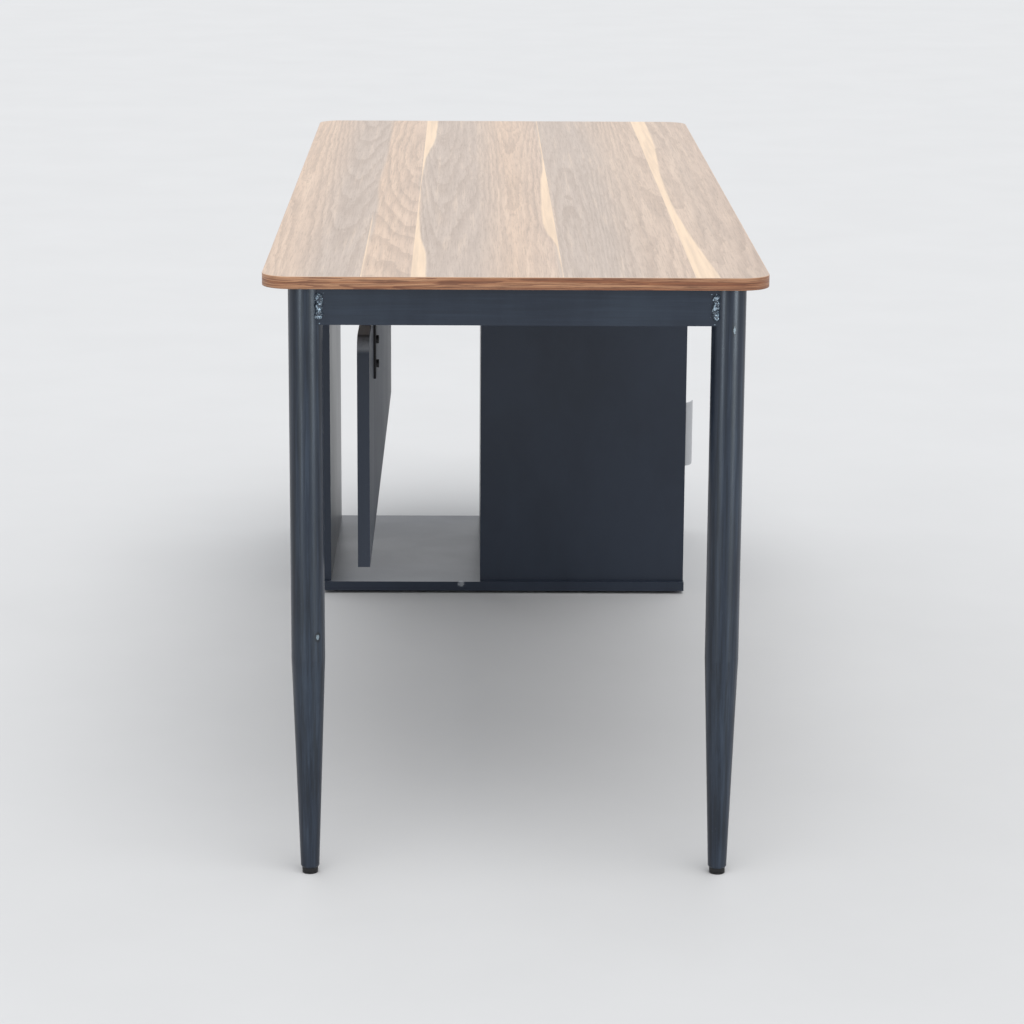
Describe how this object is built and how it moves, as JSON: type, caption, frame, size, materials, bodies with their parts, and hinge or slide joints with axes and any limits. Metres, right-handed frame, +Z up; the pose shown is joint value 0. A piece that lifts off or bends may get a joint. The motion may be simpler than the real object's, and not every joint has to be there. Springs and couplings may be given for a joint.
{
  "type": "office desk with side cabinet",
  "caption": "Office desk: a walnut-look board on a steel end frame with tapered legs and on a laminate side cabinet with a hinged door, plus a modesty panel.",
  "frame": {"origin": "on the floor, under the centre of the whole desk's bounding box", "axes": "+X across the desk towards the user's side, where the door and its pull are; +Y along the desk from the leg end to the cabinet end; +Z up"},
  "size_m": [0.611, 1.85, 0.75],
  "materials": {
    "walnut_laminate": "satin walnut-pattern laminate on chipboard, grain along the desk, with cream streaks",
    "walnut_edging": "satin brown walnut-pattern edge band",
    "frame_paint": "satin charcoal blue-grey powder coat",
    "black_steel": "black zinc plate, satin",
    "charcoal_board": "fine-textured charcoal melamine on chipboard",
    "pull_metal": "light grey satin anodised",
    "hinge_steel": "nickel-plated, satin",
    "zinc_steel": "bright zinc plate",
    "glide_plastic": "black moulded plastic",
    "catch_plastic": "black moulded plastic",
    "beech": "plain beech dowel"
  },
  "bodies": {
    "desk": {"desktop_board": "walnut_laminate", "desktop_edge_band": "walnut_edging", "desktop_inserts": "zinc_steel", "desktop_screws": "zinc_steel", "leg_tube_left": "frame_paint", "leg_tube_right": "frame_paint", "leg_top_plate_left": "frame_paint", "leg_top_plate_right": "frame_paint", "foot_plug_left": "zinc_steel", "foot_plug_right": "zinc_steel", "end_crossbar": "frame_paint", "weld_beads_left": "frame_paint", "weld_beads_right": "frame_paint", "side_rail_left": "frame_paint", "side_rail_right": "frame_paint", "rail_end_plates": "frame_paint", "rail_end_bolts": "zinc_steel", "rail_end_caps": "glide_plastic", "mid_brace": "frame_paint", "far_crossbar": "frame_paint", "fixing_plates": "frame_paint", "rail_nuts": "zinc_steel", "cabinet_bolts": "zinc_steel", "modesty_panel": "charcoal_board", "strap_bracket_near": "black_steel", "strap_bracket_far": "black_steel", "strap_bolts": "black_steel", "cabinet_bottom": "charcoal_board", "cabinet_top": "charcoal_board", "visitor_side_panel": "charcoal_board", "box_near_side": "charcoal_board", "box_far_side": "charcoal_board", "box_back": "charcoal_board", "box_divider": "charcoal_board", "cabinet_glides": "glide_plastic", "cabinet_screws": "zinc_steel", "cam_locks": "zinc_steel", "cam_bolts": "zinc_steel", "dowels": "beech", "adjustable_shelf": "charcoal_board", "shelf_pins": "zinc_steel", "upper_hinge_case_leaf": "hinge_steel", "upper_hinge_pin": "hinge_steel", "lower_hinge_case_leaf": "hinge_steel", "lower_hinge_pin": "hinge_steel", "hinge_case_screws": "zinc_steel", "magnet_catch": "catch_plastic"},
    "door": {"door": "charcoal_board", "door_pull": "pull_metal", "door_pull_screws": "zinc_steel", "upper_hinge_door_leaf": "hinge_steel", "lower_hinge_door_leaf": "hinge_steel", "hinge_door_screws": "zinc_steel", "catch_strike": "zinc_steel"},
    "left_foot_stem": {"foot_stem_left": "zinc_steel"},
    "left_foot_pad": {"foot_pad_left": "glide_plastic"},
    "right_foot_stem": {"foot_stem_right": "zinc_steel"},
    "right_foot_pad": {"foot_pad_right": "glide_plastic"}
  },
  "joints": [
    {"name": "door_hinge", "type": "hinge", "parent": "desk", "child": "door", "pos_m": [0.2955, 0.9005, 0.263], "axis": [0, 0, 1], "range_deg": [0, 110]},
    {"name": "left_foot_travel", "type": "slide", "parent": "desk", "child": "left_foot_stem", "axis": [0, 0, -1], "range_m": [0, 0.012]},
    {"name": "left_foot_turn", "type": "hinge", "parent": "left_foot_stem", "child": "left_foot_pad", "pos_m": [-0.255, -0.8835, 0.004], "axis": [0, 0, -1], "range_deg": [0, 3456]},
    {"name": "right_foot_travel", "type": "slide", "parent": "desk", "child": "right_foot_stem", "axis": [0, 0, -1], "range_m": [0, 0.012]},
    {"name": "right_foot_turn", "type": "hinge", "parent": "right_foot_stem", "child": "right_foot_pad", "pos_m": [0.248, -0.8835, 0.004], "axis": [0, 0, -1], "range_deg": [0, 3456]}
  ],
  "couplings": [
    {"joint": "left_foot_turn", "follows": "left_foot_travel", "rad_per_m": 5026.5},
    {"joint": "right_foot_turn", "follows": "right_foot_travel", "rad_per_m": 5026.5}
  ]
}
